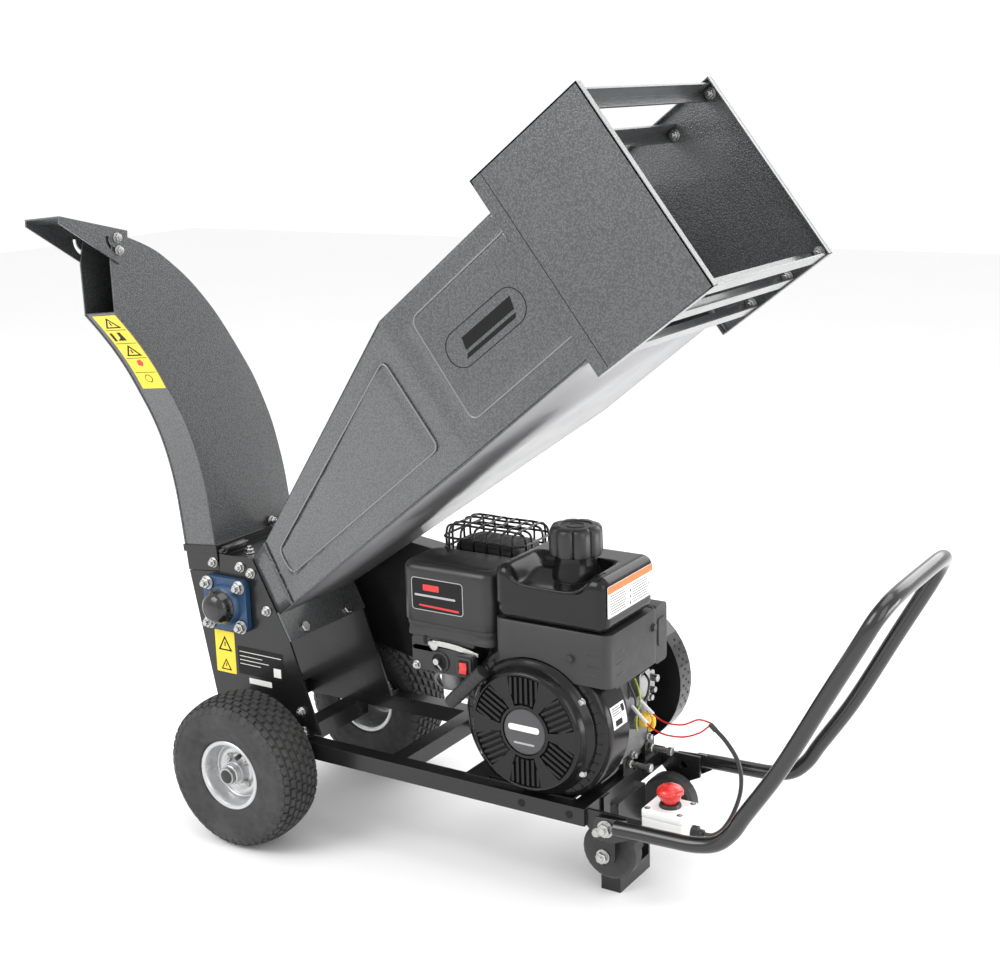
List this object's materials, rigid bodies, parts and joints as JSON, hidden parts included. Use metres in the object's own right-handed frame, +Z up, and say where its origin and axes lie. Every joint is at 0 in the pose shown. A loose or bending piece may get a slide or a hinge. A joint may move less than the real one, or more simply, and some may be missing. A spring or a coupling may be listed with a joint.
{
  "type": "petrol wood chipper",
  "caption": "Wheeled petrol wood chipper with a tilted feed hopper, drum rotor in a side-plated housing, curved discharge chute, small engine, belt guard and folding tow handle.",
  "frame": {"origin": "middle of the bounding box on the ground, cord nodes left out", "axes": "+X runs from the wheels to the tow handle, +Y to the belt side, +Z up"},
  "size_m": [1.3246, 0.573, 1.2306],
  "materials": {
    "hammered_grey": "silver grey hammered enamel, fine pebble texture, semi-gloss",
    "black_enamel": "gloss black powder coat",
    "blue_casting": "blue painted casting",
    "zinc": "bright zinc plated steel",
    "steel": "bare machined steel",
    "cast": "die cast, painted dark",
    "rim_silver": "silver painted pressed steel",
    "tyre_rubber": "matt moulded rubber",
    "roller_rubber": "hard rubber",
    "cable_rubber": "smooth cable jacket",
    "black_plastic": "moulded black plastic, slightly glossy",
    "white_plastic": "white moulded plastic",
    "red_plastic": "red moulded plastic",
    "yellow_plastic": "yellow moulded plastic",
    "red_wire": "red wire insulation"
  },
  "bodies": {
    "machine": {"air_cleaner_cover": "black_plastic", "anvil_blade": "steel", "axle": "black_enamel", "belt_guard": "black_enamel", "belt_guard_back_plate": "black_enamel", "blower_housing": "black_plastic", "carburettor": "cast", "chassis_frame": "black_enamel", "chute_socket": "black_enamel", "control_panel": "black_plastic", "deflector_pivot_bolt": "zinc", "discharge_chute": "hammered_grey", "drive_belt": "cable_rubber", "engine_block": "cast", "engine_plate": "black_enamel", "feed_hopper": "hammered_grey", "first_stop_wire": "red_wire", "fuel_tank": "black_plastic", "housing_wrapper": "black_enamel", "left_flange_bearing": "blue_casting", "left_handle_bolt": "zinc", "left_housing_plate": "black_enamel", "left_mouth_panel": "hammered_grey", "lower_front_mouth_bar": "hammered_grey", "lower_middle_mouth_bar": "hammered_grey", "lower_rear_mouth_bar": "hammered_grey", "muffler": "steel", "muffler_guard": "black_enamel", "recoil_cover": "black_plastic", "right_flange_bearing": "blue_casting", "right_handle_bolt": "zinc", "right_housing_plate": "black_enamel", "right_mouth_panel": "hammered_grey", "second_stop_wire": "red_wire", "stop_cable": "cable_rubber", "stop_switch_box": "white_plastic", "tank_cradle": "black_plastic", "upper_front_mouth_bar": "hammered_grey", "upper_rear_mouth_bar": "hammered_grey"},
    "left_wheel": {"left_tyre": "tyre_rubber", "left_wheel_rim": "rim_silver"},
    "right_wheel": {"right_tyre": "tyre_rubber", "right_wheel_rim": "rim_silver"},
    "left_roller": {"left_front_roller": "roller_rubber"},
    "right_roller": {"right_front_roller": "roller_rubber"},
    "rotor": {"rotor_drum": "steel", "first_cutter_blade": "steel", "second_cutter_blade": "steel", "rotor_pulley": "cast"},
    "crank": {"crankshaft": "steel", "clutch_drum": "cast"},
    "deflector": {"chute_deflector": "hammered_grey"},
    "handle": {"tow_handle": "black_enamel"},
    "pull_grip": {"recoil_grip": "black_plastic"},
    "tank_cap": {"fuel_cap": "black_plastic"},
    "throttle": {"throttle_lever": "zinc"},
    "rocker": {"engine_switch": "red_plastic"},
    "dipstick": {"oil_dipstick": "yellow_plastic"},
    "stop_head": {"stop_button": "red_plastic"},
    "foot": {"support_foot": "black_enamel"}
  },
  "joints": [
    {"name": "left_wheel_roll", "type": "hinge", "parent": "machine", "child": "left_wheel", "pos_m": [-0.42463, -0.1375, 0.13], "axis": [0, 1, 0], "continuous": true},
    {"name": "right_wheel_roll", "type": "hinge", "parent": "machine", "child": "right_wheel", "pos_m": [-0.42463, 0.2385, 0.13], "axis": [0, 1, 0], "continuous": true},
    {"name": "left_roller_roll", "type": "hinge", "parent": "machine", "child": "left_roller", "pos_m": [0.22537, -0.0475, 0.102], "axis": [0, 1, 0], "continuous": true},
    {"name": "right_roller_roll", "type": "hinge", "parent": "machine", "child": "right_roller", "pos_m": [0.22537, 0.1485, 0.102], "axis": [0, 1, 0], "continuous": true},
    {"name": "rotor_spin", "type": "hinge", "parent": "machine", "child": "rotor", "pos_m": [-0.50863, 0.0505, 0.382], "axis": [0, 1, 0], "continuous": true},
    {"name": "crank_spin", "type": "hinge", "parent": "machine", "child": "crank", "pos_m": [0.10337, 0.0505, 0.284], "axis": [0, 1, 0], "continuous": true},
    {"name": "deflector_tilt", "type": "hinge", "parent": "machine", "child": "deflector", "pos_m": [-0.61823, -0.1735, 1.0051], "axis": [0.9954, 0, 0.0958], "range_deg": [0, 70]},
    {"name": "handle_fold", "type": "hinge", "parent": "machine", "child": "handle", "pos_m": [0.23637, 0.0505, 0.154], "axis": [0, -1, 0], "range_deg": [0, 50]},
    {"name": "starter_pull", "type": "slide", "parent": "machine", "child": "pull_grip", "axis": [0, -1, 0], "range_m": [0, 0.03], "stiffness_N_per_m": 150, "springref_m": -0.01},
    {"name": "tank_cap_turn", "type": "hinge", "parent": "machine", "child": "tank_cap", "pos_m": [0.14737, -0.0075, 0.569], "axis": [0, 0, 1], "range_deg": [0, 120]},
    {"name": "throttle_swing", "type": "hinge", "parent": "machine", "child": "throttle", "pos_m": [-0.07663, -0.0655, 0.382], "axis": [0, -1, 0], "range_deg": [0, 20]},
    {"name": "rocker_tilt", "type": "hinge", "parent": "machine", "child": "rocker", "pos_m": [-0.01413, -0.0785, 0.3595], "axis": [1, 0, 0], "range_deg": [0, 12]},
    {"name": "dipstick_turn", "type": "hinge", "parent": "machine", "child": "dipstick", "pos_m": [0.21537, 0.0805, 0.262], "axis": [1, 0, 0], "range_deg": [0, 90]},
    {"name": "stop_press", "type": "slide", "parent": "machine", "child": "stop_head", "axis": [0, 0, -1], "range_m": [0, 0.005], "stiffness_N_per_m": 600, "springref_m": -0.003},
    {"name": "foot_height", "type": "slide", "parent": "machine", "child": "foot", "axis": [0, 0, 1], "range_m": [-0.02, 0]}
  ],
  "couplings": [
    {"joint": "rotor_spin", "follows": "crank_spin", "ratio": 0.8871}
  ]
}
